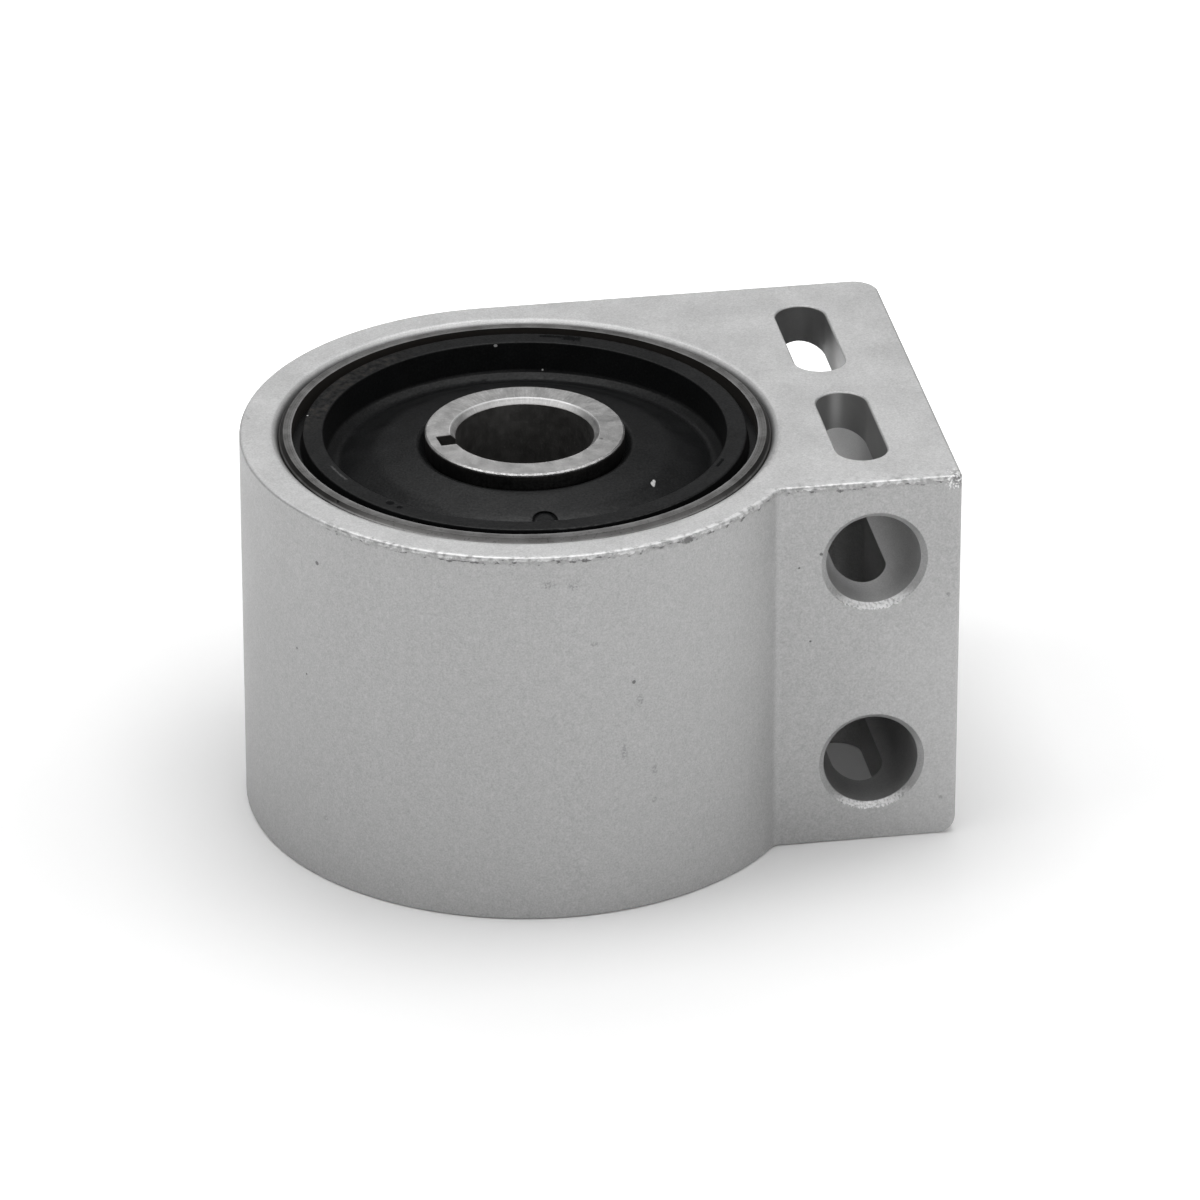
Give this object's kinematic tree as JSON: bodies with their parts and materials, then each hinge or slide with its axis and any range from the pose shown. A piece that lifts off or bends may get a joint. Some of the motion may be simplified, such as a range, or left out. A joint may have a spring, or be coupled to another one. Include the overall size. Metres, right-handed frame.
{
  "type": "rubber metal bush",
  "caption": "Rubber metal bush for a suspension arm: a bonded steel and rubber bush pressed into an aluminium housing with a two-bolt flange.",
  "frame": {"origin": "the middle of the bush, on the axis of the inner sleeve's bore and half way between the two end planes", "axes": "+Z along the bush's bore, up as pictured. +X towards the two-bolt flange. The bolts run along Y, and -Y is the flange's front face"},
  "size_m": [0.0976, 0.08, 0.0564],
  "materials": {
    "cast_aluminium": "satin silver, fine grain, nicked along its front edges",
    "sleeve_steel": "dull turned steel rim",
    "black_rubber": "moulded satin black, slightly dusty",
    "turned_steel": "faced end, light scratches"
  },
  "bodies": {
    "root": {"housing": "cast_aluminium", "outer_sleeve": "sleeve_steel", "rubber_body": "black_rubber", "inner_sleeve": "turned_steel"}
  },
  "joints": []
}
